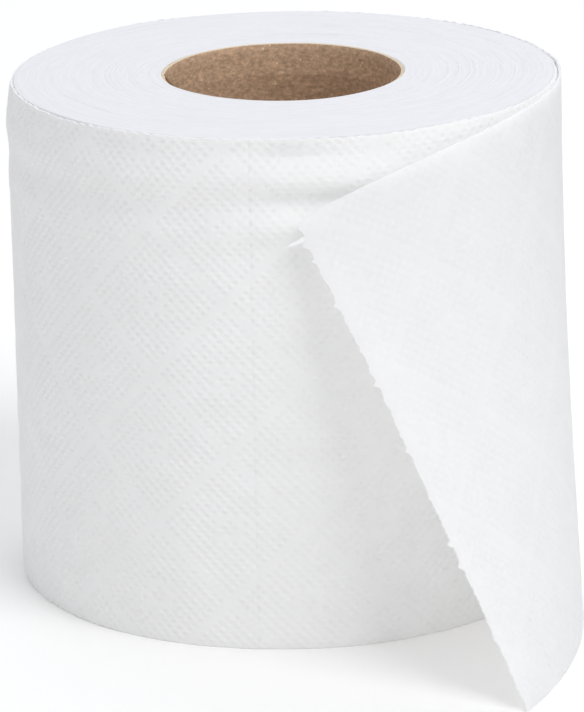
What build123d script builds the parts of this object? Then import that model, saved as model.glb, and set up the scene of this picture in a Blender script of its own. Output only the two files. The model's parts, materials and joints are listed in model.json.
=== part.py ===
"""Toilet paper roll standing on its end, with the loose tail of its outer turn torn off in front.

The origin is the centre of the lower end, on the roll's axis, and +Z is up along the axis.
The web winds clockwise seen from above, and its tail leaves the roll on the +X side,
runs towards -Y with its lower edge on the floor and wraps loosely round to the front.
"""

from build123d import *

import os
from math import cos, pi, sin

os.makedirs("parts", exist_ok=True)

# Wound roll, in millimetres
sheet_width = 100.0  # the roll's height as it stands
roll_radius = 53.5  # over the turns that the tail has left
web_thickness = 0.4  # two embossed plies

# Board core, in millimetres
bore_radius = 23.0
board_wall = 0.6

# Loose tail, in millimetres and degrees
leave_angle = 4.0  # round from +X, where the tail leaves the roll
floor_edge_length = 93.5  # along the floor, from the roll to the torn edge
floor_edge_straight = 29.0  # of that, the straight run before the tail curls inwards
floor_curl_radius = 118.0
top_edge_length = 87.8  # along the upper edge, which stays close round the roll
corner_gap = 2.0  # from the roll's side to the tail's free upper corner
corner_drop = 15.0  # how far that corner has slid down
drop_power = 3.0  # the drop starts gently and steepens towards the corner
mid_belly = 1.2  # outward bow half-way along the tail
torn_belly = 1.8  # outward bow of the torn edge
corner_rounding = 2.0
tail_spans = 9  # between the cross-sections that shape the tail

# Torn edge: what the perforation's bonds leave, in millimetres
bond_pitch = 6.5
bond_width = 1.6
bond_length = 0.8
corner_tab_width = 1.2
corner_tab_length = 3.2
corner_tab_below = 3.6  # its distance from the upper end of the torn edge

leave_plane = Plane.XY.rotated((0, 0, leave_angle))


def floor_point(share):
    """Inner face of the tail on the floor, and how far it has turned inwards in radians."""
    run = share * floor_edge_length
    straight = min(run, floor_edge_straight)
    turn = (run - straight) / floor_curl_radius
    inward = floor_curl_radius * (1 - cos(turn))
    point = Vector(roll_radius - inward, -straight - floor_curl_radius * sin(turn), 0)
    return leave_plane.from_local_coords(point), turn


def top_point(share):
    """Inner face of the tail at its upper edge, and how far round the roll it is in radians."""
    around = share * top_edge_length / (roll_radius + corner_gap / 2)
    reach = roll_radius + share * corner_gap
    height = sheet_width - corner_drop * share**drop_power
    point = Vector(reach * cos(around), -reach * sin(around), height)
    return leave_plane.from_local_coords(point), around


def tail_plane(share):
    """Plane across the tail: x runs up the sheet from the floor and y points out of the roll."""
    low, turn = floor_point(share)
    high, around = top_point(share)
    facing = (turn + around) / 2
    upward = (high - low).normalized()
    outward = leave_plane.from_local_coords(Vector(cos(facing), -sin(facing), 0))
    return Plane(origin=low, x_dir=upward, z_dir=upward.cross(outward)), (high - low).length


def draw_section(share, width):
    """Cross-section of the tail in the open sketch: one web thick and gently bowed."""
    bow = mid_belly * sin(pi * share) + torn_belly * share
    peak = 2 * bow  # a quadratic curve reaches half-way to its control point
    with BuildLine() as outline:
        Bezier((0, 0), (width / 2, peak), (width, 0))
        Line((width, 0), (width, web_thickness))
        Bezier((width, web_thickness), (width / 2, peak + web_thickness), (0, web_thickness))
        Line((0, web_thickness), (0, 0))
    make_face(outline.edges())


def tail_section(share):
    """Whole cross-section of the tail at a share of its length."""
    plane, width = tail_plane(share)
    with BuildSketch(plane) as section:
        draw_section(share, width)
    return section.sketch


def torn_bond(height, bond):
    """The stretch of the torn edge that one bond holds, centred at a height up that edge."""
    plane, width = tail_plane(1)
    with BuildSketch(plane) as stretch:
        draw_section(1, width)
        with Locations((height, 0)):
            Rectangle(bond, 4 * (torn_belly + web_thickness), mode=Mode.INTERSECT)
    return stretch.sketch


# Spirally wound board tube, glued up solid
with BuildPart() as core_tube:
    with BuildSketch():
        Circle(bore_radius + board_wall)
        Circle(bore_radius, mode=Mode.SUBTRACT)
    extrude(amount=sheet_width)

core_tube.part.label = "core_tube"
export_step(core_tube.part, "parts/core_tube.step")

# The tail, from the end of the outer turn to the torn edge
with BuildPart() as loose_tail:
    loft([tail_section(number / tail_spans) for number in range(tail_spans + 1)])
    # The free corner is rounded: all outside a circle set in from both edges goes
    torn_plane, torn_width = tail_plane(1)
    free_corner = torn_plane.from_local_coords((torn_width, 0))
    sheet_plane = Plane(free_corner, x_dir=torn_plane.x_dir, z_dir=torn_plane.y_dir)
    with BuildSketch(sheet_plane):
        with Locations((-corner_rounding, -corner_rounding)):
            Rectangle(2 * corner_rounding, 2 * corner_rounding, align=(Align.MIN, Align.MIN))
            Circle(corner_rounding, mode=Mode.SUBTRACT)
    extrude(amount=4 * web_thickness, both=True, mode=Mode.SUBTRACT)
    # The perforation tore between its bonds, which stand out as tufts, and the corner tore long
    bond_count = int((torn_width - 2 * bond_pitch) / bond_pitch)
    for number in range(bond_count):
        extrude(torn_bond((number + 1) * bond_pitch, bond_width), amount=-bond_length)
    corner_tab_height = torn_width - corner_tab_below
    extrude(torn_bond(corner_tab_height, corner_tab_width), amount=-corner_tab_length)

# The web: all its turns, with the step where the outer one ends, and its tail
with BuildPart() as paper_web:
    with BuildSketch(leave_plane):
        with BuildLine():
            # Two half turns, the second set off by half a web, grow by one web in a full turn
            ThreePointArc((roll_radius, 0), (0, -roll_radius), (-roll_radius, 0))
            ThreePointArc(
                (-roll_radius, 0),
                (web_thickness / 2, roll_radius + web_thickness / 2),
                (roll_radius + web_thickness, 0),
            )
            Line((roll_radius + web_thickness, 0), (roll_radius, 0))
        make_face()
    extrude(amount=sheet_width)
    add(loose_tail.part)
    with BuildSketch():
        Circle(bore_radius + board_wall)
    extrude(amount=sheet_width, mode=Mode.SUBTRACT)

paper_web.part.label = "paper_web"
export_step(paper_web.part, "parts/paper_web.step")
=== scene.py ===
"""Looks of a toilet paper roll that stands on its end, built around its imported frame.

The outer turn is one web of embossed two-ply tissue, perforated into sheets. Its first sheet is the loose
tail, which leaves the roll, stands on the floor and ends in a torn perforation. The turns beneath it and the
board core fill the rest. Places on the web are given by u, the way back along the web from the torn edge, and
v, the way up from its lower edge. Places on the roll are given by the turn, anticlockwise from the line where
the tail leaves it. Everything is in metres.
"""

import json
import math

import bpy
import numpy as np
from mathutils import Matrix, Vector
from mathutils.geometry import delaunay_2d_cdt


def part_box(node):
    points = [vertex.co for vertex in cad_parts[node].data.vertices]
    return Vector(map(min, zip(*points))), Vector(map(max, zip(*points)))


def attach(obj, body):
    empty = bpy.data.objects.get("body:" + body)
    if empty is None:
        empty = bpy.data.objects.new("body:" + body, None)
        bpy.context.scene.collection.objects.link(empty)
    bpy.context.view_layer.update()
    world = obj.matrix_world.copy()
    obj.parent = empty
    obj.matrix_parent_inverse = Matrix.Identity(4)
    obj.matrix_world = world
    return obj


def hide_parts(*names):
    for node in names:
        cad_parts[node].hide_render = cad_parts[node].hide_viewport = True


bl_info = {
    "name": "Toilet Paper Roll",
    "version": (1, 0, 0),
    "blender": (4, 5, 0),
    "location": "View3D > Sidebar > Paper Roll",
    "description": "Adds an embossed toilet paper roll with a torn loose tail, its board core and a studio",
    "category": "Add Mesh",
}

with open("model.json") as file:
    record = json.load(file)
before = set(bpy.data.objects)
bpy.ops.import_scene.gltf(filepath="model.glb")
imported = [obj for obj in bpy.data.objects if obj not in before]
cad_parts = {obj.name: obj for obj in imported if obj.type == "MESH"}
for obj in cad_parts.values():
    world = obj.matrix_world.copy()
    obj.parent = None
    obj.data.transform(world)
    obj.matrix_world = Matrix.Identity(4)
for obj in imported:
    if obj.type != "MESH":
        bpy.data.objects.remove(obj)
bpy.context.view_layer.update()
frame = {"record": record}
WEB_LOW, WEB_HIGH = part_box("paper_web")
CORE_LOW, CORE_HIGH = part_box("core_tube")
MOUNTS = {mount["name"]: mount for mount in frame["record"]["mounts"]}

MM = 0.001
FULL_TURN = 2 * math.pi
BASE = WEB_LOW.z
SHEET_WIDTH = WEB_HIGH.z - WEB_LOW.z
BORE_RADIUS = MOUNTS["core_bore"]["dims"]["r_mm"] * MM
CORE_RADIUS = CORE_HIGH.x


# ---- Settings that a user would change ----

class TissueWebSettings(bpy.types.PropertyGroup):
    """The embossed two-ply web and the turns wound from it."""

    roll_radius: bpy.props.FloatProperty(
        name="Roll Radius", description="Under the outer turn, where the tail leaves the roll",
        default=53.5 * MM, min=30 * MM, max=80 * MM, unit="LENGTH")
    thickness: bpy.props.FloatProperty(
        name="Web Thickness", description="Both embossed plies",
        default=0.4 * MM, min=0.2 * MM, max=1.0 * MM, unit="LENGTH")
    sheet_length: bpy.props.FloatProperty(
        name="Sheet Length", description="From one perforation to the next",
        default=111.1 * MM, min=90 * MM, max=140 * MM, unit="LENGTH")
    diamond: bpy.props.FloatProperty(
        name="Diamond", description="Diagonal of the embossed diamonds",
        default=29.5 * MM, min=15 * MM, max=60 * MM, unit="LENGTH")
    dent_depth: bpy.props.FloatProperty(
        name="Dent Depth", description="How deep the embossing presses the web in",
        default=0.33 * MM, min=0.0, max=0.6 * MM, unit="LENGTH")
    rim_ripple: bpy.props.FloatProperty(
        name="Rim Ripple", description="Height of the slack waves below the upper rim",
        default=0.70 * MM, min=0.0, max=1.0 * MM, unit="LENGTH")
    colour: bpy.props.FloatVectorProperty(
        name="Tissue", description="Colour of the bleached tissue", subtype="COLOR",
        default=(0.845, 0.842, 0.832), min=0.0, max=1.0)


class LooseTailSettings(bpy.types.PropertyGroup):
    """Where the loose tail leaves the roll, how it stands and where it was torn."""

    leave_angle: bpy.props.FloatProperty(
        name="Leave Angle", description="Round from +X, where the tail leaves the roll",
        default=math.radians(4.0), subtype="ANGLE")
    floor_edge: bpy.props.FloatProperty(
        name="Floor Edge", description="Length of the tail along the floor",
        default=93.5 * MM, unit="LENGTH")
    floor_straight: bpy.props.FloatProperty(
        name="Straight Run", description="Straight part of the floor edge, before it curls inwards",
        default=29.0 * MM, unit="LENGTH")
    floor_curl: bpy.props.FloatProperty(
        name="Curl Radius", description="Radius of the rest of the floor edge",
        default=118.0 * MM, unit="LENGTH")
    top_edge: bpy.props.FloatProperty(
        name="Top Edge", description="Length of the tail along its upper edge, round the roll",
        default=87.8 * MM, unit="LENGTH")
    corner_gap: bpy.props.FloatProperty(
        name="Corner Gap", description="From the roll's side to the tail's free upper corner",
        default=2.0 * MM, unit="LENGTH")
    corner_drop: bpy.props.FloatProperty(
        name="Corner Drop", description="How far the free upper corner has slid down",
        default=15.0 * MM, unit="LENGTH")
    mid_belly: bpy.props.FloatProperty(
        name="Belly", description="Outward bow half-way along the tail",
        default=1.2 * MM, unit="LENGTH")
    torn_belly: bpy.props.FloatProperty(
        name="Torn Edge Bow", description="Outward bow of the torn edge",
        default=1.8 * MM, unit="LENGTH")


class BoardCoreSettings(bpy.types.PropertyGroup):
    """The spirally wound board tube."""

    strip_rise: bpy.props.FloatProperty(
        name="Seam Rise", description="How far the spiral seam climbs in one turn",
        default=87.0 * MM, unit="LENGTH")
    seam_gap: bpy.props.FloatProperty(
        name="Seam Gap", description="Width of the gap between neighbouring turns of the board strip",
        default=0.5 * MM, unit="LENGTH")
    seam_depth: bpy.props.FloatProperty(
        name="Seam Depth", description="Depth of that gap", default=0.22 * MM, unit="LENGTH")
    board: bpy.props.FloatVectorProperty(
        name="Board", description="Colour of the grey-brown recycled board", subtype="COLOR",
        default=(0.51, 0.352, 0.233), min=0.0, max=1.0)
    cut_edge: bpy.props.FloatVectorProperty(
        name="Cut Edge", description="Colour of the board's freshly cut edge", subtype="COLOR",
        default=(0.72, 0.60, 0.44), min=0.0, max=1.0)


class PaperStudioSettings(bpy.types.PropertyGroup):
    """The plain studio round the roll."""

    camera_distance: bpy.props.FloatProperty(
        name="Camera Distance", description="From the middle of the roll", default=0.9, unit="LENGTH")
    camera_height: bpy.props.FloatProperty(
        name="Camera Height", description="How far the camera looks down",
        default=math.radians(16.86), subtype="ANGLE")
    camera_roll: bpy.props.FloatProperty(
        name="Camera Roll", description="How far the camera leans", default=math.radians(-1.04),
        subtype="ANGLE")
    floor: bpy.props.FloatVectorProperty(
        name="Floor", description="Colour of the plain floor", subtype="COLOR",
        default=(0.97, 0.962, 0.945), min=0.0, max=1.0)
    key_power: bpy.props.FloatProperty(
        name="Key Light", description="Power of the large soft light on the right", default=6.5,
        min=0.0, unit="POWER")
    top_power: bpy.props.FloatProperty(
        name="Top Light", description="Power of the soft light overhead", default=4.5, min=0.0,
        unit="POWER")
    glow_power: bpy.props.FloatProperty(
        name="Glow", description="Power of the key light's share that shines through the loose tissue",
        default=1.3, min=0.0, unit="POWER")
    fill_power: bpy.props.FloatProperty(
        name="Fill Light", description="Power of the low soft light on the left", default=0.8, min=0.0,
        unit="POWER")
    surround: bpy.props.FloatProperty(
        name="Surround", description="Brightness of the white surround", default=0.645, min=0.0)


# ---- Soft variation that is the same on every run ----

def waves(turn, height, seed, count=7, turns=(1, 6), per_metre=(5, 40)):
    """Smooth noise of about unit height over the roll's wall, which joins up round a full turn."""
    draw = np.random.default_rng(seed)
    total = np.zeros(np.broadcast(turn, height).shape)
    for _ in range(count):
        around = draw.integers(turns[0], turns[1] + 1)
        upward = draw.uniform(*per_metre) * draw.choice((-1, 1))
        total += np.cos(around * turn + FULL_TURN * upward * height + draw.uniform(0, FULL_TURN))
    return total / math.sqrt(count / 2)


def smooth_step(value, low, high):
    """From 0 at low to 1 at high, level at both ends."""
    share = np.clip((value - low) / (high - low), 0, 1)
    return share * share * (3 - 2 * share)


def polar(radius, angle, height):
    """Points at a radius, an angle and a height round the roll's axis."""
    return np.stack([radius * np.cos(angle), radius * np.sin(angle), height + 0 * angle], -1)


def scatter(first, second):
    """A fixed value from 0 to 1 for each pair of whole numbers."""
    mixed = np.sin(first * 12.9898 + second * 78.233) * 43758.5453
    return mixed - np.floor(mixed)


# ---- The web's own surface ----

MOTIF_U = 328.0 * MM  # one of the four-dot motifs, from which the pattern is laid out
MOTIF_V = 53.6 * MM
MOTIF_CLEAR = 3.3 * MM  # radius of the plain ring round its dots
ROWS_PER_DIAMOND = 28
DENT_WIDE = 0.86 * MM
DENT_HIGH = 0.60 * MM


def dent_shape(along, upward):
    """One dent: pressed in at its middle, with the tissue puffed up round it."""
    reach = (along / DENT_WIDE) ** 2 + (upward / DENT_HIGH) ** 2
    return np.exp(-2.2 * reach) - 0.4 * np.exp(-0.55 * reach)


def embossing(u, v, web):
    """How far the web is pressed in, as a share of the dents' depth.

    Dents lie on a square lattice turned by 45 degrees. Plain bands along its rows bound the diamonds, and
    each diamond has four dots in a plain ring at its middle.
    """
    row = web.diamond / ROWS_PER_DIAMOND
    half = ROWS_PER_DIAMOND // 4  # lattice steps from a plain band to the middle of its diamond
    across, up = u - MOTIF_U, v - MOTIF_V
    first, second = (across + up) / (2 * row), (across - up) / (2 * row)
    total = np.zeros_like(across)
    for near_first in (np.rint(first) - 1, np.rint(first), np.rint(first) + 1):
        for near_second in (np.rint(second) - 1, np.rint(second), np.rint(second) + 1):
            off_first = (near_first + half) % (2 * half) - half
            off_second = (near_second + half) % (2 * half) - half
            in_band = (np.abs(off_first) == half) | (np.abs(off_second) == half)
            in_ring = np.hypot(off_first + off_second, off_first - off_second) * row < MOTIF_CLEAR
            dent_u = across - (near_first + near_second) * row
            dent_v = up - (near_first - near_second) * row
            depth = 0.82 + 0.3 * scatter(near_first, near_second)
            total += np.where(in_band | in_ring, 0.0, depth * dent_shape(dent_u, dent_v))
    middle_first = (first + half) % (2 * half) - half
    middle_second = (second + half) % (2 * half) - half
    from_u = np.abs(middle_first + middle_second) * row
    from_v = np.abs(middle_first - middle_second) * row
    return total + dent_shape(from_u - row, from_v) + dent_shape(from_u, from_v - row)


BOND_PITCH = 3.25 * MM
BOND_WIDTH = 0.9 * MM
BOND_BLEND = 0.35 * MM  # from a bond to the full slit
SLIT_HALF_GAP = 0.004 * MM
DIP_DEPTH = 0.05 * MM
DIP_REACH = 0.45 * MM


def slit(v):
    """1 where the perforation is cut through, 0 at its bonds."""
    from_bond = np.abs((v + BOND_PITCH / 2) % BOND_PITCH - BOND_PITCH / 2)
    return smooth_step(from_bond, BOND_WIDTH / 2, BOND_WIDTH / 2 + BOND_BLEND)


def torn_fringe(v):
    """How far the torn edge sticks out at v: mostly stubs where the bonds gave way, and a few long tufts."""
    draw = np.random.default_rng(seed=3)
    fringe = 0.12 * MM * np.interp(v, np.linspace(0, SHEET_WIDTH, 60), draw.normal(0, 1, 60))
    for middle in np.arange(0.5, SHEET_WIDTH / BOND_PITCH) * BOND_PITCH:
        middle += draw.normal(0, 0.4 * MM)
        wide = draw.uniform(0.25, 0.6) * MM
        long = draw.choice((0.08, 0.25, 0.9), p=(0.5, 0.28, 0.22)) * draw.uniform(0.7, 1.3) * MM
        lean = np.where(v > middle, draw.uniform(0.5, 1.0), draw.uniform(1.0, 1.6))
        fringe += long * np.exp(-((v - middle) / (wide * lean)) ** 2)
    return fringe + draw.normal(0, 0.06 * MM, v.shape)


# ---- The roll's wall ----

RIPPLE_LENGTH = 10.8 * MM
RIPPLE_CREST = 8.3 * MM  # below the rim
RIPPLE_DRIFT = 1.1 * MM
RIPPLE_FADES = (14 * MM, 27 * MM)  # below the rim
SLOW_UNEVENNESS = 0.07 * MM
UNDER_GAP = 0.03 * MM  # between the outer turn or the core and the turns beneath


def slackness(turn):
    """How slack the outer turn is: most towards the tail's free corner, and not at all where it leaves."""
    towards_corner = 0.25 + 0.35 * smooth_step(turn, 3.1, 3.9) + 0.4 * smooth_step(turn, 3.8, 4.7)
    return smooth_step(turn, 0.3, 1.2) * towards_corner * (1 - smooth_step(turn, 4.8, 5.4))


def wall_offset(turn, height, web):
    """Outward offset of the wall: slack waves below the upper rim and slow unevenness."""
    below_rim = BASE + SHEET_WIDTH - height
    drift = RIPPLE_DRIFT * waves(turn, height * 0, seed=5, turns=(2, 7))
    crest = np.cos(FULL_TURN * (below_rim - RIPPLE_CREST + drift * below_rim / (20 * MM)) / RIPPLE_LENGTH)
    fade = 1 - 0.9 * smooth_step(below_rim, *RIPPLE_FADES)
    uneven = 0.9 + 0.22 * waves(turn, height, seed=11, turns=(3, 9), per_metre=(0, 25))
    ripple = web.rim_ripple * crest * fade * uneven
    slow = SLOW_UNEVENNESS * waves(turn, height, seed=21, turns=(2, 12), per_metre=(3, 25))
    clear_of_tail = smooth_step(turn, 0.05, 0.8) * (1 - smooth_step(turn, 5.2, 5.8))
    return slackness(turn) * ripple + clear_of_tail * slow


def softness(turn):
    """How worn the upper rim is, from 0 to 1: most on the side away from the tail."""
    return 0.25 + 0.75 * smooth_step(turn, 1.5, 3.2) * (1 - smooth_step(turn, 3.6, 4.3))


def rim_shape(turn, height, web):
    """How far the soft upper and lower rims curl in, clear of the line where the tail leaves."""
    from_top = np.maximum(BASE + SHEET_WIDTH - height, 0)
    from_floor = np.maximum(height - BASE, 0)
    soft = softness(turn)
    curl = (0.3 + 0.9 * soft) * MM * np.exp(-from_top / ((0.5 + 1.6 * soft) * MM))
    curl = curl + 0.2 * MM * np.exp(-from_floor / (0.6 * MM))
    return curl * smooth_step(turn, 0.0, 0.15)


def inner_face(turn, height, web):
    """Radius of the outer turn's inner face, which falls by one web in a full turn."""
    plain = web.roll_radius - web.thickness * turn / FULL_TURN
    return plain + wall_offset(turn, height, web) - rim_shape(turn, height, web)


def wall_height(turn, v):
    """Height on the roll of a place on the web: its upper edge is cut a little unevenly."""
    trim = 0.25 + 0.45 * softness(turn) + 0.10 * waves(turn, v * 0, seed=31, turns=(3, 14))
    trim = trim + 0.06 * waves(turn, v * 0, seed=32, turns=(40, 160))
    return BASE + v * (1 - trim * MM * smooth_step(turn, 0.0, 0.2) / SHEET_WIDTH)


def outer_turn(turn, height, web, tail, lift):
    """Points on the outer turn, raised from its inner face."""
    return polar(inner_face(turn, height, web) + lift, turn + tail.leave_angle, height)


# ---- The loose tail ----

DROP_POWER = 3.0  # the upper edge's drop starts gently and steepens towards the corner
EASE_POWER = 1.4
EDGE_ROLL = 0.35 * MM  # how far the upper edge curls outwards


def leave_u(tail):
    """Where along the web the tail leaves the roll: the mean length of its two edges."""
    return (tail.floor_edge + tail.top_edge) / 2


def web_turn(u, web, tail):
    """Turn on the roll at a place along the web."""
    return (u - leave_u(tail)) / (web.roll_radius + web.thickness / 2)


def free_tail(u, v, web, tail):
    """Inner face of the tail between the roll and the torn edge."""
    share = 1 - u / leave_u(tail)
    eased = np.clip(share, 0, None) ** EASE_POWER
    run = share * tail.floor_edge
    straight = np.minimum(run, tail.floor_straight)
    bend = (run - straight) / tail.floor_curl
    low_out = web.roll_radius - tail.floor_curl * (1 - np.cos(bend))
    low_along = straight + tail.floor_curl * np.sin(bend)
    around = share * tail.top_edge / (web.roll_radius + tail.corner_gap / 2)
    reach = web.roll_radius + eased * tail.corner_gap
    low = np.stack([low_out, -low_along, 0 * share + BASE], -1)
    high_z = BASE + SHEET_WIDTH - tail.corner_drop * np.clip(share, 0, None) ** DROP_POWER
    high = polar(reach, -around, high_z)
    outward = polar(1, -(bend + around) / 2, 0)
    climb = (v / SHEET_WIDTH)[..., None]
    bow = tail.mid_belly * np.sin(math.pi * np.clip(share, 0, 1)) ** 2 + tail.torn_belly * eased
    # two gentle waves across the sheet, which grow towards the torn edge
    ripple = 0.45 * MM * np.sin(FULL_TURN * (share * 2.6 + v / (170 * MM)) + 0.8) * eased
    ripple += 0.16 * MM * np.sin(FULL_TURN * (share * 6.5 - v / (60 * MM))) * eased
    swell = (4 * climb * (1 - climb)) * (bow + ripple)[..., None]
    swell = swell + EDGE_ROLL * (np.exp(-(1 - climb) * 60) * smooth_step(share, 0.05, 0.3)[..., None])
    spot = low + (high - low) * climb + outward * swell
    cosine, sine = math.cos(tail.leave_angle), math.sin(tail.leave_angle)
    x = spot[..., 0] * cosine - spot[..., 1] * sine
    y = spot[..., 0] * sine + spot[..., 1] * cosine
    return np.stack([x, y, spot[..., 2]], -1)


def first_sheet(u, v, web, tail):
    """Inner face of the first sheet: free as far as the roll, then lying on it."""
    turn = np.maximum(web_turn(u, web, tail), 0)
    wound = outer_turn(turn, wall_height(turn, v), web, tail, 0)
    free = free_tail(np.minimum(u, leave_u(tail)), v, web, tail)
    return np.where((u > leave_u(tail))[..., None], wound, free)


def facing_out(surface, u, v):
    """Unit normals of a surface of u and v, pointing out of the roll."""
    step = 0.05 * MM
    along = surface(u + step, v) - surface(u - step, v)
    upward = surface(u, v + step) - surface(u, v - step)
    normal = np.cross(along, upward)
    return normal / np.linalg.norm(normal, axis=-1, keepdims=True)


# ---- Meshes ----

def add_mesh(context, name, points, faces, material, uv=None, pressed=None, crease=50):
    """Links a smooth-shaded mesh whose edges over the crease angle stay crisp."""
    mesh = bpy.data.meshes.new(name)
    mesh.from_pydata(np.asarray(points).tolist(), [], [list(map(int, face)) for face in faces])
    mesh.validate()
    mesh.materials.append(material)
    mesh.polygons.foreach_set("use_smooth", [True] * len(mesh.polygons))
    mesh.set_sharp_from_angle(angle=math.radians(crease))
    if uv is not None:
        corners = np.zeros(len(mesh.loops), np.int32)
        mesh.loops.foreach_get("vertex_index", corners)
        layer = mesh.uv_layers.new(name="web")
        layer.data.foreach_set("uv", np.asarray(uv, np.float32)[corners].ravel())
    if pressed is not None:
        attribute = mesh.attributes.new("pressed", "FLOAT", "POINT")
        attribute.data.foreach_set("value", np.asarray(pressed, np.float32).ravel())
    mesh.update()
    piece = bpy.data.objects.new(name, mesh)
    context.scene.collection.objects.link(piece)
    return piece


def lattice(low, high, first, step):
    """Places from low to high, both kept, that lie on a lattice through first with the given step."""
    inner = first + step * np.arange(math.ceil((low - first) / step), math.floor((high - first) / step) + 1)
    inner = inner[(inner > low + 0.4 * step) & (inner < high - 0.4 * step)]
    return np.concatenate([[low], inner, [high]])


def web_grid(start, end, web, per_row=(3, 3)):
    """Grid of web places between two places along it, in step with the rows of dents."""
    row = web.diamond / ROWS_PER_DIAMOND
    along = lattice(start, end, MOTIF_U, row / per_row[0])
    upward = lattice(0, SHEET_WIDTH, MOTIF_V, row / per_row[1])
    return np.meshgrid(along, upward)


def web_piece(context, name, u, v, front, back, inner, material, pressed):
    """A closed, thin piece of web: an embossed front, a back and edges that join them.

    u and v are grids of web places and front is the grid of their points. back is a function of u and v for
    the hidden side, which keeps the front's outline and, within it, has only the inner places.
    """
    rows, columns = u.shape
    index = np.arange(rows * columns).reshape(rows, columns)
    quads = np.stack([index[:-1, :-1], index[:-1, 1:], index[1:, 1:], index[1:, :-1]], -1).reshape(-1, 4)
    rim = np.concatenate([index[0, :-1], index[:-1, -1], index[-1, :0:-1], index[:0:-1, 0]])
    flat_u, flat_v = u.ravel(), v.ravel()
    places = [Vector((flat_u[i], flat_v[i])) for i in rim] + [Vector(place) for place in inner]
    ring = [(i, (i + 1) % len(rim)) for i in range(len(rim))]
    flat, _, triangles, origins = delaunay_2d_cdt(places, ring, [], 1, 1e-9)[:4]
    count = rows * columns
    back_at = np.array([list(place) for place in flat])
    hidden = back(back_at[:, 0], back_at[:, 1])
    new_of = {old: count + new for new, olds in enumerate(origins) for old in olds}
    back_rim = [new_of[i] for i in range(len(rim))]
    faces = [tuple(quad) for quad in quads]
    faces += [tuple(count + corner for corner in reversed(triangle)) for triangle in triangles]
    ends = len(rim)
    faces += [(rim[i], back_rim[i], back_rim[(i + 1) % ends], rim[(i + 1) % ends]) for i in range(ends)]
    points = np.concatenate([front.reshape(-1, 3), hidden])
    uv = np.concatenate([np.stack([flat_u, flat_v], -1), back_at])
    depth = np.concatenate([pressed.ravel(), np.zeros(len(back_at))])
    piece = add_mesh(context, name, points, faces, material, uv, depth, crease=80)
    keep_crisp(piece.data, rim)
    return piece


def keep_crisp(mesh, corners):
    """Marks the edges between the given corners as sharp."""
    chosen = np.zeros(len(mesh.vertices), bool)
    chosen[corners] = True
    ends = np.zeros(2 * len(mesh.edges), np.int32)
    mesh.edges.foreach_get("vertices", ends)
    sharp = np.zeros(len(mesh.edges), bool)
    mesh.edges.foreach_get("use_edge_sharp", sharp)
    mesh.edges.foreach_set("use_edge_sharp", sharp | chosen[ends].reshape(-1, 2).all(axis=1))


def places_within(along, upward):
    """Pairs of web places, clear of the outline."""
    return [(a, b) for a in along[1:-1] for b in upward[1:-1]]


def pull_to_slits(u, v, at_start, at_end):
    """Draws the first and last columns of a sheet back where the perforation is cut through."""
    if at_start:
        u[:, 0] += SLIT_HALF_GAP * slit(v[:, 0])
    if at_end:
        u[:, -1] -= SLIT_HALF_GAP * slit(v[:, -1])


def perforation_dip(u, web):
    """The web dips a little along each perforation."""
    from_line = np.abs((u + web.sheet_length / 2) % web.sheet_length - web.sheet_length / 2)
    return DIP_DEPTH * np.exp(-(from_line / DIP_REACH) ** 2)


# ---- Materials ----

def new_material(name, colour, roughness):
    """A plain principled material with its nodes and its shader."""
    material = bpy.data.materials.new(name)
    material.use_nodes = True
    shader = material.node_tree.nodes["Principled BSDF"]
    shader.inputs["Base Color"].default_value = (*colour, 1)
    shader.inputs["Roughness"].default_value = roughness
    shader.inputs["Specular IOR Level"].default_value = 0.25
    return material, material.node_tree, shader


def add_node(tree, kind, inputs, **settings):
    """A new node, whose inputs are linked to sockets or set to plain values."""
    node = tree.nodes.new("ShaderNode" + kind)
    for name, value in settings.items():
        setattr(node, name, value)
    for name, value in inputs.items():
        if isinstance(value, bpy.types.NodeSocket):
            tree.links.new(value, node.inputs[name])
        else:
            node.inputs[name].default_value = value
    return node


def noise(tree, vector, scale, detail, roughness=0.55):
    """Noise texture on a vector, as its height."""
    inputs = {"Vector": vector, "Scale": scale, "Detail": detail, "Roughness": roughness}
    return add_node(tree, "TexNoise", inputs).outputs["Fac"]


def stretched(tree, vector, scale):
    """The vector with each part scaled, which draws noise out into fibres or creping."""
    return add_node(tree, "Mapping", {"Vector": vector, "Scale": scale}).outputs["Vector"]


def ramp(tree, factor, stops):
    """Colour ramp over a factor."""
    node = tree.nodes.new("ShaderNodeValToRGB")
    elements = node.color_ramp.elements
    while len(elements) < len(stops):
        elements.new(0.5)
    for element, (place, colour) in zip(elements, stops):
        element.position = place
        element.color = (*colour, 1)
    tree.links.new(factor, node.inputs["Fac"])
    return node.outputs["Color"]


def blended(tree, factor, first, second, blend_type="MIX"):
    """Blend of two colours."""
    inputs = {"Factor": factor, "A": first, "B": second}
    return add_node(tree, "Mix", inputs, data_type="RGBA", blend_type=blend_type).outputs["Result"]


def bump(tree, shader, height, distance, strength, under=None):
    """Bump of a real depth, over any bump that is given."""
    inputs = {"Strength": strength, "Distance": distance, "Height": height}
    if under is not None:
        inputs["Normal"] = under
    normal = add_node(tree, "Bump", inputs).outputs["Normal"]
    tree.links.new(normal, shader.inputs["Normal"])
    return normal


def shade(colour, factor):
    """The colour scaled, and kept in range."""
    return tuple(min(1.0, part * factor) for part in colour)


def tissue_finish(shader):
    """Soft fibrous finish that all the tissue shares."""
    shader.inputs["Sheen Weight"].default_value = 0.25
    shader.inputs["Sheen Roughness"].default_value = 0.6
    shader.inputs["Subsurface Weight"].default_value = 0.12
    shader.inputs["Subsurface Radius"].default_value = (1.0, 0.95, 0.9)
    shader.inputs["Subsurface Scale"].default_value = 0.6 * MM


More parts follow.
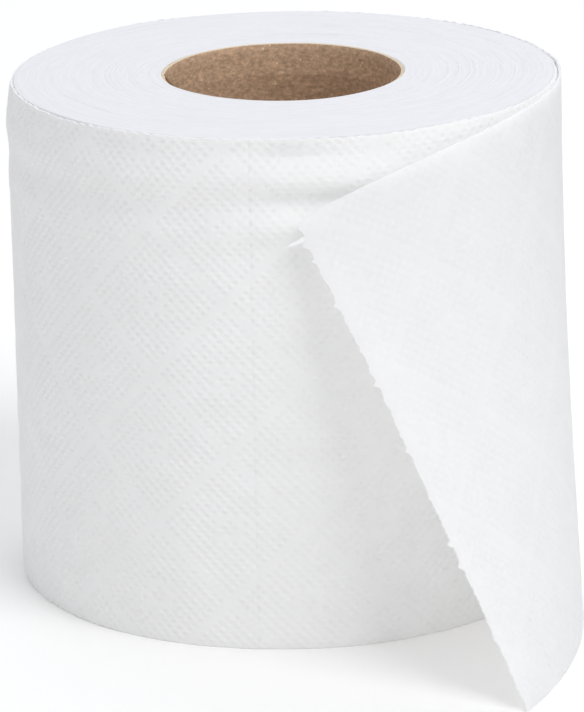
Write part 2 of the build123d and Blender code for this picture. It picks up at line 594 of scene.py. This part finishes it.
LOOSE_TISSUE_PAINTED_LIGHTER = (0.985, 0.986, 1.0)  # the tissue painted whiter and cooler than on the roll, as painted light on the loose sheet
SHONE_THROUGH = (0.992, 0.99, 0.99)
SEE_THROUGH = 0.60  # share of the loose sheet that light crosses
WOUND_FROM, WOUND_TO = -14 * MM, 16 * MM  # from where the tail leaves, where its finish turns to the wall's
# painted cool cast of light on the cut ends
END_PAINTED_COOL_CAST = (0.985, 0.988, 1.02)


def web_material(web, name="embossed_tissue", see_through=0.0, leaves=0.0):
    """Embossed face of the web: crepe lines across it and loose fibres. On the roll its dents are painted a
    little darker, as painted shade in them; on the loose sheet the plain tissue is painted darker than its
    dents, so these show as painted highlights.

    see_through is for the loose sheet: the share of light that crosses it, up to where it leaves the roll.
    """
    # the loose sheet's tissue is painted whiter and cooler, as painted light; where the sheet is wound it
    # fades back to the roll's colour
    colour = LOOSE_TISSUE_PAINTED_LIGHTER if see_through else web.colour
    material, tree, shader = new_material(name, colour, 0.92)
    tissue_finish(shader)
    place = tree.nodes.new("ShaderNodeTexCoord").outputs["UV"]
    cloudy = noise(tree, place, 110, 4)
    tone = ramp(tree, cloudy, ((0.3, shade(colour, 0.98)), (0.7, shade(colour, 1.015))))
    pressed = add_node(tree, "Attribute", {}, attribute_name="pressed").outputs["Fac"]
    # painted light on the dents: on the roll a painted shade in them, on the loose sheet painted highlights,
    # the plain tissue round them painted darker
    plain, deep = (0.96, 1.0) if see_through else (1.0, 0.985)
    grey = ramp(tree, pressed, ((0.0, (plain,) * 3), (0.4, (deep,) * 3)))
    shown = blended(tree, 1.0, tone, grey, "MULTIPLY")
    if see_through:
        wound = wound_share(tree, place, leaves)
        let_light_through(tree, shader, SHONE_THROUGH, see_through, wound)
        shown = blended(tree, wound, shown, (*web.colour, 1))
    tree.links.new(shown, shader.inputs["Base Color"])
    crepe = noise(tree, stretched(tree, place, (5200, 700, 1)), 1, 2)
    fibres = noise(tree, place, 5200, 5, 0.7)
    under = bump(tree, shader, crepe, 0.06 * MM, 0.8)
    bump(tree, shader, fibres, 0.07 * MM, 0.8, under)
    return material


def wound_share(tree, place, leaves):
    """0 where the sheet is loose, rising to 1 where it lies on the roll."""
    along = add_node(tree, "SeparateXYZ", {0: place}).outputs["X"]
    inputs = {"Value": along, "From Min": leaves + WOUND_FROM, "From Max": leaves + WOUND_TO}
    return add_node(tree, "MapRange", inputs, interpolation_type="SMOOTHSTEP").outputs["Result"]


def let_light_through(tree, shader, colour, share, wound):
    """Mixes in a share of light that crosses the thin tissue from its other side, where it isn't wound."""
    across = add_node(tree, "BsdfTranslucent", {"Color": (*colour, 1)})
    crossing = add_node(tree, "MapRange", {"Value": wound, "To Min": share, "To Max": 0.0})
    inputs = {0: crossing.outputs["Result"], 1: shader.outputs[0], 2: across.outputs[0]}
    mix = add_node(tree, "MixShader", inputs)
    tree.links.new(mix.outputs[0], tree.nodes["Material Output"].inputs["Surface"])


def end_material(web):
    """Cut ends of the turns: the roll's tissue painted darker and cooler, as painted shade and a painted cool
    cast of light, and streaked round the roll by the edges of the plies.
    """
    # painted shade and a painted cool cast: the ends are painted darker and cooler than the roll's tissue
    colour = tuple(np.multiply(shade(web.colour, 0.90), END_PAINTED_COOL_CAST))
    material, tree, shader = new_material("cut_tissue_ends", colour, 0.95)
    tissue_finish(shader)
    place = tree.nodes.new("ShaderNodeTexCoord").outputs["Object"]
    x, y, z = add_node(tree, "SeparateXYZ", {0: place}).outputs

    def calculate(operation, *values):
        return add_node(tree, "Math", dict(enumerate(values)), operation=operation).outputs[0]

    radius = calculate("SQRT", calculate("ADD", calculate("MULTIPLY", x, x), calculate("MULTIPLY", y, y)))
    rolled = add_node(tree, "CombineXYZ", {0: radius, 1: calculate("ARCTAN2", y, x), 2: z})
    streaks = noise(tree, stretched(tree, rolled.outputs[0], (2600, 5, 600)), 1, 4, 0.6)
    tone = ramp(tree, streaks, ((0.32, shade(colour, 0.965)), (0.62, shade(colour, 1.02))))
    tree.links.new(tone, shader.inputs["Base Color"])
    fuzz = noise(tree, place, 3800, 5, 0.7)
    under = bump(tree, shader, streaks, 0.05 * MM, 0.6)
    bump(tree, shader, fuzz, 0.05 * MM, 0.5, under)
    return material


def board_material(core):
    """Recycled board: speckled grey-brown with pale and dark fibres pressed in."""
    material, tree, shader = new_material("core_board", core.board, 0.88)
    place = tree.nodes.new("ShaderNodeTexCoord").outputs["Object"]
    mottled = noise(tree, stretched(tree, place, (900, 900, 1500)), 1, 6, 0.72)
    tone = ramp(tree, mottled, (
        (0.28, shade(core.board, 0.62)), (0.46, core.board), (0.58, shade(core.board, 1.28)),
        (0.74, shade(core.board, 1.75))))
    flecks = add_node(tree, "TexVoronoi", {"Vector": place, "Scale": 620})
    pale = ramp(tree, flecks.outputs["Distance"], ((0.06, (1, 1, 1)), (0.13, (0, 0, 0))))
    fleck = (*shade(core.board, 2.3), 1)
    tree.links.new(blended(tree, pale, tone, fleck), shader.inputs["Base Color"])
    bump(tree, shader, mottled, 0.08 * MM, 0.7)
    return material


def cut_board_material(core):
    """The board's cut edge: pale, with the layers of the plies showing."""
    material, tree, shader = new_material("cut_board_edge", core.cut_edge, 0.9)
    place = tree.nodes.new("ShaderNodeTexCoord").outputs["Object"]
    rough = noise(tree, place, 2600, 5, 0.7)
    tone = ramp(tree, rough, ((0.3, shade(core.cut_edge, 0.75)), (0.65, shade(core.cut_edge, 1.15))))
    tree.links.new(tone, shader.inputs["Base Color"])
    bump(tree, shader, rough, 0.06 * MM, 0.8)
    return material


# ---- Pieces ----

PLY_EDGE = 0.2 * MM  # each ply edge is a ridge of its own on the upper end
FLOOR_PLY_EDGE = 0.9 * MM
TURN_SEGMENTS = 320
KNOTS = 4000  # places along a ply edge where its height is drawn
UNEVEN_KNOTS = 9  # of them in a turn, for the edge's slow unevenness
PROUD_KNOTS = 5  # and for the few stretches that stand proud


def spiral_end(start, pitch, inner, outer, height_at, segments):
    """Points and faces of a wound end, whose ridge runs out in one spiral between two round edges.

    inner and outer are the radii of those edges, as arrays over a full turn. Faces look up.
    """
    turns = int(round((float(np.mean(outer)) - float(np.mean(inner))) / pitch))
    along = np.arange((turns - 1) * segments + 1)
    place = along % segments
    share = (along / segments + 0.25) / (turns - 0.5)
    radius = inner[place] + (outer[place] - inner[place]) * share
    angle = FULL_TURN * along / segments
    ring = FULL_TURN * np.arange(segments) / segments
    points = [
        polar(inner, ring, height_at(ring, inner, None)),
        polar(radius, angle, height_at(angle, radius, along)),
        polar(outer, ring, height_at(ring, outer, None)),
    ]
    coil, rim = start + segments, start + segments + len(along)
    faces = []
    m = np.arange((turns - 2) * segments)
    faces += list(zip(coil + m, coil + m + segments, coil + m + 1 + segments, coil + m + 1))
    last = segments - 1
    faces += [(start + j, coil + j, coil + j + 1, start + j + 1) for j in range(last)]
    faces += [(start + last, coil, start), (start + last, coil + segments, coil),
              (start + last, coil + last, coil + segments)]
    final, end = coil + (turns - 2) * segments, coil + (turns - 1) * segments
    faces += [(final + 1, final, end), (final + 1, end, rim), (final + 1, rim, rim + 1)]
    faces += [(final + j, rim + j, rim + j + 1, final + j + 1) for j in range(1, last)]
    faces.append((final + last, rim + last, rim, end))
    points = np.concatenate(points)
    return points, faces, start + np.arange(segments), rim + np.arange(segments), start + len(points)


def ring_wall(lower, upper, points_between):
    """Quads between two rings of the same count, through rows of new points, looking outwards."""
    rows = [lower, *points_between, upper]
    faces = []
    for below, above in zip(rows, rows[1:]):
        count = len(below)
        for j in range(count):
            k = (j + 1) % count
            faces.append((below[j], below[k], above[k], above[j]))
    return faces


class WoundTurns(bpy.types.Operator):
    """Add the turns beneath the outer one, with the edges of their plies on both ends"""

    bl_idname = "mesh.wound_turns_add"
    bl_label = "Add Wound Turns"
    bl_options = {"REGISTER", "UNDO"}

    def execute(self, context):
        web, tail = context.scene.paper_web, context.scene.paper_tail
        ring = FULL_TURN * np.arange(TURN_SEGMENTS) / TURN_SEGMENTS
        turn = (ring - tail.leave_angle) % FULL_TURN
        top, bottom = BASE + SHEET_WIDTH, BASE

        def wall(height):
            return inner_face(turn, np.full_like(turn, height), web) - UNDER_GAP

        hole = np.full(TURN_SEGMENTS, CORE_RADIUS + UNDER_GAP)
        draw = np.random.default_rng(seed=8)
        knots = draw.normal(0, 1, KNOTS)
        proud = draw.choice((0, 1), KNOTS, p=(0.93, 0.07)) * draw.uniform(0.5, 1.0, KNOTS)

        def upper_height(angle, radius, along):
            from_wall = web.roll_radius - radius
            soft = softness((angle - tail.leave_angle) % FULL_TURN)
            worn = (0.1 + 0.6 * soft) * np.exp(-np.maximum(from_wall, 0) / ((0.7 + 1.5 * soft) * MM))
            level = top - (0.12 + worn) * MM
            level += 0.06 * MM * waves(angle, radius, seed=41, turns=(1, 4), per_metre=(0, 60))
            level -= 0.12 * MM * np.exp(-(radius - CORE_RADIUS) / (1.6 * MM))
            if along is None:
                return level
            uneven = np.interp(along / (TURN_SEGMENTS / UNEVEN_KNOTS), np.arange(KNOTS), knots)
            raised = np.interp(along / (TURN_SEGMENTS / PROUD_KNOTS), np.arange(KNOTS), proud)
            return np.minimum(level + 0.035 * MM * uneven + 0.16 * MM * raised, top)

        def lower_height(angle, radius, along):
            return np.full_like(radius, bottom)

        upper, faces, hole_top, wall_top, count = spiral_end(
            0, PLY_EDGE, hole, wall(top), upper_height, TURN_SEGMENTS)
        lower, more, hole_low, wall_low, count = spiral_end(
            count, FLOOR_PLY_EDGE, hole, wall(bottom), lower_height, TURN_SEGMENTS)
        faces += [tuple(reversed(face)) for face in more]
        points, between = [upper, lower], []
        near_rim = top - np.array([5, 3.8, 2.8, 2.0, 1.4, 0.9, 0.5]) * MM  # closer rows where the rim curls
        for height in np.concatenate([np.linspace(bottom, top - 6 * MM, 30)[1:], near_rim]):
            points.append(polar(wall(height), ring, height))
            between.append(count + np.arange(TURN_SEGMENTS))
            count += TURN_SEGMENTS
        faces += ring_wall(wall_low, wall_top, between)
        faces += ring_wall(hole_top, hole_low, [])
        piece = add_mesh(context, "wound_turns", np.concatenate(points), faces, end_material(web), crease=70)
        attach(piece, "root")
        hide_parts("paper_web")
        return {"FINISHED"}


class OuterSheets(bpy.types.Operator):
    """Add the perforated sheets of the outer turn that lie on the roll"""

    bl_idname = "mesh.outer_sheets_add"
    bl_label = "Add Outer Sheets"
    bl_options = {"REGISTER", "UNDO"}

    def execute(self, context):
        web, tail = context.scene.paper_web, context.scene.paper_tail
        material = web_material(web)
        turn_end = leave_u(tail) + FULL_TURN * (web.roll_radius + web.thickness / 2)
        names = ("second_sheet", "third_sheet", "fourth_sheet")
        for number, name in enumerate(names, start=1):
            start = number * web.sheet_length
            end = min(start + web.sheet_length, turn_end)
            u, v = web_grid(start, end, web)
            pull_to_slits(u, v, True, end < turn_end)

            def lying(u, v, lift):
                turn = web_turn(u, web, tail)
                return outer_turn(turn, wall_height(turn, v), web, tail, lift)

            pressed = embossing(u, v, web)
            lift = web.thickness - web.dent_depth * pressed - perforation_dip(u, web)
            inner = places_within(np.linspace(start, end, 26), np.linspace(0, SHEET_WIDTH, 24))
            piece = web_piece(context, name, u, v, lying(u, v, lift), lambda a, b: lying(a, b, 0),
                              inner, material, pressed)
            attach(piece, "root")
            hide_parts("paper_web")
        return {"FINISHED"}


CORNER_ROUNDING = 2.6 * MM
CORNER_SHIFT_REACH = 6 * MM
FRINGE_REACH = 0.5 * MM
CLEAR_OF_EDGE = (0.2 * MM, 1.5 * MM)  # from the torn edge, where the embossing sets in


def follow_torn_edge(u, v):
    """Moves the start of the first sheet's grid to the torn edge and the rounded free corner."""
    fringe = torn_fringe(v[:, 0])
    into_corner = np.clip(v[:, 0] - (SHEET_WIDTH - CORNER_ROUNDING), 0, CORNER_ROUNDING)
    rounded = CORNER_ROUNDING - np.sqrt(CORNER_ROUNDING ** 2 - into_corner ** 2)
    u = u + rounded[:, None] * np.exp(-u / CORNER_SHIFT_REACH)
    return u - fringe[:, None] * np.exp(-((u - u[:, :1]) / FRINGE_REACH) ** 2)


class LooseTail(bpy.types.Operator):
    """Add the first sheet of the web, whose free end stands on the floor"""

    bl_idname = "mesh.loose_tail_add"
    bl_label = "Add Loose Tail"
    bl_options = {"REGISTER", "UNDO"}

    def execute(self, context):
        web, tail = context.scene.paper_web, context.scene.paper_tail
        material = web_material(web, "loose_tissue", SEE_THROUGH, leave_u(tail))

        def surface(u, v):
            return first_sheet(u, v, web, tail)

        def lifted(u, v, lift):
            return surface(u, v) + facing_out(surface, u, v) * lift[..., None]

        def inside(u, v):
            loose = smooth_step(leave_u(tail) - u, 1 * MM, 6 * MM) * smooth_step(u, *CLEAR_OF_EDGE)
            return lifted(u, v, -0.8 * web.dent_depth * embossing(u, v, web) * loose)

        u, v = web_grid(0, web.sheet_length, web, (2.5, 3))
        u = follow_torn_edge(u, v)
        pull_to_slits(u, v, False, True)
        pressed = embossing(u, v, web)
        clear = smooth_step(u, *CLEAR_OF_EDGE)
        lift = web.thickness - (0.95 * web.dent_depth * pressed + perforation_dip(u, web)) * clear
        back_step = web.diamond / ROWS_PER_DIAMOND / 1.6
        free = lattice(2 * MM, leave_u(tail), MOTIF_U, back_step)
        wound = np.linspace(leave_u(tail), web.sheet_length, 6)
        upward = lattice(0, SHEET_WIDTH, MOTIF_V, back_step)
        inner = places_within(np.concatenate([[0], free, wound[1:]]), upward)
        piece = web_piece(context, "loose_tail", u, v, lifted(u, v, lift), inside, inner, material, pressed)
        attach(piece, "root")
        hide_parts("paper_web")
        return {"FINISHED"}


def bristle(path, radii, flat, sides, side_on):
    """Points and faces of a closed, tapered bristle along a path of points, flattened to a share."""
    angle = FULL_TURN * np.arange(sides) / sides
    ahead = np.gradient(path, axis=0)
    across = np.cross(ahead, side_on)
    across /= np.linalg.norm(across, axis=1, keepdims=True)
    off = np.cross(across, ahead)
    off /= np.linalg.norm(off, axis=1, keepdims=True)
    rings = (path[:, None] + radii[:, None, None] * (across[:, None] * np.cos(angle)[:, None]
             + flat * off[:, None] * np.sin(angle)[:, None]))
    rows = np.arange(len(path) * sides).reshape(-1, sides)
    faces = ring_wall(rows[0], rows[-1], rows[1:-1]) + [tuple(rows[0][::-1]), tuple(rows[-1])]
    return rings.reshape(-1, 3), faces


SHRED_STEPS = 14
SHRED_ROOT = 2.0  # mm back from the torn edge
SHRED_LENGTH = 5.6
SHRED_HEIGHT = 95.7  # mm up the tail
HAIRS = 420
HAIR_STEPS = 5
HAIR_SIDES = 3
EDGE_PLACES = 500  # places along the torn edge where a hair may grow


class TornFibres(bpy.types.Operator):
    """Add the shred at the tail's upper corner and the loose fibres along its torn edge"""

    bl_idname = "mesh.torn_fibres_add"
    bl_label = "Add Torn Fibres"
    bl_options = {"REGISTER", "UNDO"}

    def execute(self, context):
        web, tail = context.scene.paper_web, context.scene.paper_tail
        material = web_material(web, "torn_fibres")

        def surface(u, v):
            return free_tail(u, v, web, tail)

        def spot(u, v, off):
            u, v = np.asarray(u, float), np.asarray(v, float)
            return surface(u, v) + facing_out(surface, u, v) * np.asarray(off)[..., None]

        near_corner = np.full(SHRED_STEPS, 96 * MM)
        outward = facing_out(surface, np.zeros(SHRED_STEPS), near_corner)
        shred = add_mesh(context, "corner_shred", *self.curled_shred(spot, outward), material)
        hairs = add_mesh(context, "torn_fibres", *self.stray_hairs(spot, outward[0]), material)
        for piece in (shred, hairs):
            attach(piece, "root")
            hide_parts("paper_web")
        return {"FINISHED"}

    def curled_shred(self, spot, outward):
        """Points and faces of the strip of ply that pulled free and curls off the corner."""
        step = np.linspace(0, 1, SHRED_STEPS)
        away = 0.1 + 0.5 * step ** 2
        height = SHRED_HEIGHT + 1.1 * step - 0.5 * step ** 2
        path = spot((SHRED_ROOT - SHRED_LENGTH * step) * MM, height * MM, away * MM)
        width = 0.62 * (1 - step ** 1.6) + 0.04 + 0.07 * np.sin(step * 19)
        return bristle(path, width * MM, 0.3, 8, outward)

    def stray_hairs(self, spot, outward):
        """Points and faces of the fine fibres that stick out all along the torn edge."""
        draw = np.random.default_rng(seed=12)
        places = np.linspace(0.3, 99.0, EDGE_PLACES) * MM
        fringe = torn_fringe(places)
        along = np.linspace(0, 1, HAIR_STEPS)
        all_points, all_faces = [], []
        for _ in range(HAIRS):
            pick = draw.integers(0, EDGE_PLACES)
            start = -fringe[pick] + 0.25 * MM
            long = draw.uniform(0.25, 1.0) * MM + 1.2 * MM * (draw.random() < 0.05)
            lean, curl = draw.normal(0, 0.6), draw.normal(0, 0.5)
            off = 0.2 * MM + long * along * draw.normal(0, 0.35)
            height = places[pick] + long * (lean * along + curl * along ** 2)
            path = spot(start - long * along, np.maximum(height, 0.1 * MM), off)
            radii = draw.uniform(0.018, 0.034) * MM * (1.1 - along)
            points, faces = bristle(path, radii, 1, HAIR_SIDES, np.tile(outward, (HAIR_STEPS, 1)))
            first = len(all_points) * len(points)
            all_faces += [tuple(corner + first for corner in face) for face in faces]
            all_points.append(points)
        return np.concatenate(all_points), all_faces


SEAM_START = 2.2  # angle of the seam at the floor
CORE_SEGMENTS = 240
CORE_ROWS = 64


class BoardCore(bpy.types.Operator):
    """Add the spirally wound board core"""

    bl_idname = "mesh.board_core_add"
    bl_label = "Add Board Core"
    bl_options = {"REGISTER", "UNDO"}

    def execute(self, context):
        core = context.scene.paper_core
        board, edge = board_material(core), cut_board_material(core)
        seam = core.seam_gap / BORE_RADIUS
        plain = np.linspace(0, FULL_TURN, CORE_SEGMENTS, endpoint=False)[3:-2]
        ring = np.sort(np.concatenate([plain, [-seam, -seam / 2, 0, seam / 2, seam]]))
        depth = core.seam_depth * (np.abs(ring) < seam * 0.75)
        count = len(ring)
        points, rows = [], []
        wall = CORE_RADIUS - BORE_RADIUS
        low, high = CORE_LOW.z, CORE_HIGH.z

        def add_row(radius, height, sunk):
            angle = ring + FULL_TURN * height / core.strip_rise + SEAM_START
            reach = radius + sunk * depth
            uneven = 0.04 * MM * np.sin(7 * angle) * np.sin(3 * angle)
            slant = 0.35 * MM * (1 - np.sin(angle + 0.35)) + uneven
            lowered = np.maximum(slant, 0) * np.clip((height - low) / (high - low), 0, 1) ** 8
            points.append(polar(reach, angle, height - lowered))
            rows.append(len(rows) * count + np.arange(count))

        for height in np.linspace(low + 0.08 * MM, high - 0.12 * MM, CORE_ROWS):
            add_row(BORE_RADIUS, height, 1)
        inner_rows = len(rows)
        add_row(BORE_RADIUS + 0.12 * wall, high - 0.02 * MM, 0.6)
        add_row(BORE_RADIUS + 0.46 * wall, high, 0.2)
        add_row(BORE_RADIUS + 0.52 * wall, high - 0.06 * MM, 0)
        add_row(BORE_RADIUS + 0.60 * wall, high, 0)
        add_row(CORE_RADIUS - 0.02 * MM, high - 0.03 * MM, 0)
        add_row(CORE_RADIUS - 0.02 * MM, low + 0.03 * MM, 0)
        add_row(BORE_RADIUS + 0.5 * wall, low, 0)
        add_row(BORE_RADIUS + 0.12 * wall, low, 0.6)
        faces = []
        for first, second in zip(rows, rows[1:] + rows[:1]):
            for j in range(count):
                k = (j + 1) % count
                faces.append((first[k], first[j], second[j], second[k]))
        piece = add_mesh(context, "board_core", np.concatenate(points), faces, board, crease=60)
        piece.data.materials.append(edge)
        edge_rows = {*range(inner_rows - 1, inner_rows + 4), *range(len(rows) - 3, len(rows))}
        for polygon in piece.data.polygons:
            if polygon.index // count in edge_rows:
                polygon.material_index = 1
        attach(piece, "root")
        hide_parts("core_tube")
        return {"FINISHED"}


FLOOR_REACH = 4.0
SURROUND_COLOUR = (0.94, 0.957, 1.0)
KEY_PLACE = (0.58, -0.63, 1.08)
OVERHEAD_PLACE = (0.0, 0.75, 1.0)
FILL_PLACE = (-0.42, -0.95, 0.16)
LAMP_AIM = Vector((0, 0, 0.05))
CAMERA_LENS = 229.8
CAMERA_LEVEL = Vector((0, 0, 45.7 * MM))  # the camera's distance and height are measured from here
CAMERA_AIM = Vector((0.8 * MM, 0, 41.8 * MM))


class PaperStudio(bpy.types.Operator):
    """Set a plain pale floor, the soft studio lights and the camera"""

    bl_idname = "scene.paper_studio_set"
    bl_label = "Set Paper Studio"
    bl_options = {"REGISTER", "UNDO"}

    def execute(self, context):
        studio, scene = context.scene.paper_studio, context.scene
        self.add_floor(scene, studio)
        world = bpy.data.worlds.new("white_surround")
        world.use_nodes = True
        background = world.node_tree.nodes["Background"]
        background.inputs["Color"].default_value = (*SURROUND_COLOUR, 1)
        background.inputs["Strength"].default_value = studio.surround
        scene.world = world

        self.add_lamp(scene, "key", KEY_PLACE, 0.7, studio.key_power, (0.97, 0.98, 1.0))
        glow = self.add_lamp(scene, "glow", KEY_PLACE, 0.7, studio.glow_power, (1.0, 0.975, 0.94))
        self.shine_through(glow, scene.objects["loose_tail"])
        self.add_lamp(scene, "overhead", OVERHEAD_PLACE, 1.2, studio.top_power, (0.95, 0.965, 1.0))
        self.add_lamp(scene, "fill", FILL_PLACE, 0.6, studio.fill_power, (1.0, 0.97, 0.92))
        self.add_camera(scene, studio)
        scene.view_settings.view_transform = "Standard"
        return {"FINISHED"}

    def add_floor(self, scene, studio):
        """Links the plain floor that the roll stands on."""
        reach = FLOOR_REACH
        corners = [(-reach, -reach, BASE), (reach, -reach, BASE), (reach, reach, BASE), (-reach, reach, BASE)]
        mesh = bpy.data.meshes.new("floor")
        mesh.from_pydata(corners, [], [(0, 1, 2, 3)])
        mesh.materials.append(new_material("studio_floor", studio.floor, 0.9)[0])
        floor = bpy.data.objects.new("floor", mesh)
        scene.collection.objects.link(floor)

    def add_camera(self, scene, studio):
        """Links the camera and makes it the scene's own."""
        camera = bpy.data.cameras.new("camera")
        camera.lens = CAMERA_LENS
        camera.clip_start = 0.01
        eye = bpy.data.objects.new("camera", camera)
        away = Vector((0, -math.cos(studio.camera_height), math.sin(studio.camera_height)))
        eye.location = CAMERA_LEVEL + away * studio.camera_distance
        eye.rotation_euler = (CAMERA_AIM - eye.location).to_track_quat("-Z", "Y").to_euler()
        eye.rotation_euler.rotate_axis("Z", studio.camera_roll)
        scene.collection.objects.link(eye)
        scene.camera = eye

    def add_lamp(self, scene, name, place, size, power, colour):
        """Links a square soft light that looks at the roll."""
        light = bpy.data.lights.new(name, "AREA")
        light.size = size
        light.energy = power
        light.color = colour
        lamp = bpy.data.objects.new(name, light)
        lamp.location = place
        lamp.rotation_euler = (LAMP_AIM - Vector(place)).to_track_quat("-Z", "Y").to_euler()
        scene.collection.objects.link(lamp)
        return lamp

    def shine_through(self, lamp, piece):
        """Lets the lamp's light pass a thin piece, which then casts no shadow from that lamp."""
        spared = bpy.data.collections.new("no_shadow_from_" + lamp.name)
        spared.objects.link(piece)
        spared.collection_objects[0].light_linking.link_state = "EXCLUDE"
        lamp.light_linking.blocker_collection = spared


class PaperRollPanel(bpy.types.Panel):
    """Lists the roll's settings and pieces in the sidebar"""

    bl_idname = "VIEW3D_PT_paper_roll"
    bl_label = "Paper Roll"
    bl_space_type = "VIEW_3D"
    bl_region_type = "UI"
    bl_category = "Paper Roll"

    def draw(self, context):
        layout, scene = self.layout, context.scene
        for settings in (scene.paper_web, scene.paper_tail, scene.paper_core, scene.paper_studio):
            box = layout.box()
            for name in settings.bl_rna.properties.keys():
                if name not in {"rna_type", "name"}:
                    box.prop(settings, name)
        for operator in OPERATORS:
            layout.operator(operator.bl_idname)


SETTINGS = {
    "paper_web": TissueWebSettings,
    "paper_tail": LooseTailSettings,
    "paper_core": BoardCoreSettings,
    "paper_studio": PaperStudioSettings,
}
OPERATORS = (BoardCore, WoundTurns, OuterSheets, LooseTail, TornFibres, PaperStudio)


def register():
    for name, settings in SETTINGS.items():
        bpy.utils.register_class(settings)
        setattr(bpy.types.Scene, name, bpy.props.PointerProperty(type=settings))
    for operator in OPERATORS:
        bpy.utils.register_class(operator)
    bpy.utils.register_class(PaperRollPanel)


def unregister():
    bpy.utils.unregister_class(PaperRollPanel)
    for operator in reversed(OPERATORS):
        bpy.utils.unregister_class(operator)
    for name, settings in SETTINGS.items():
        delattr(bpy.types.Scene, name)
        bpy.utils.unregister_class(settings)


def main():
    """Adds every piece, then the studio, whose glow needs the loose tail to be there."""
    register()
    bpy.ops.mesh.board_core_add()
    bpy.ops.mesh.wound_turns_add()
    bpy.ops.mesh.outer_sheets_add()
    bpy.ops.mesh.loose_tail_add()
    bpy.ops.mesh.torn_fibres_add()
    bpy.ops.scene.paper_studio_set()


if __name__ == "__main__":
    main()
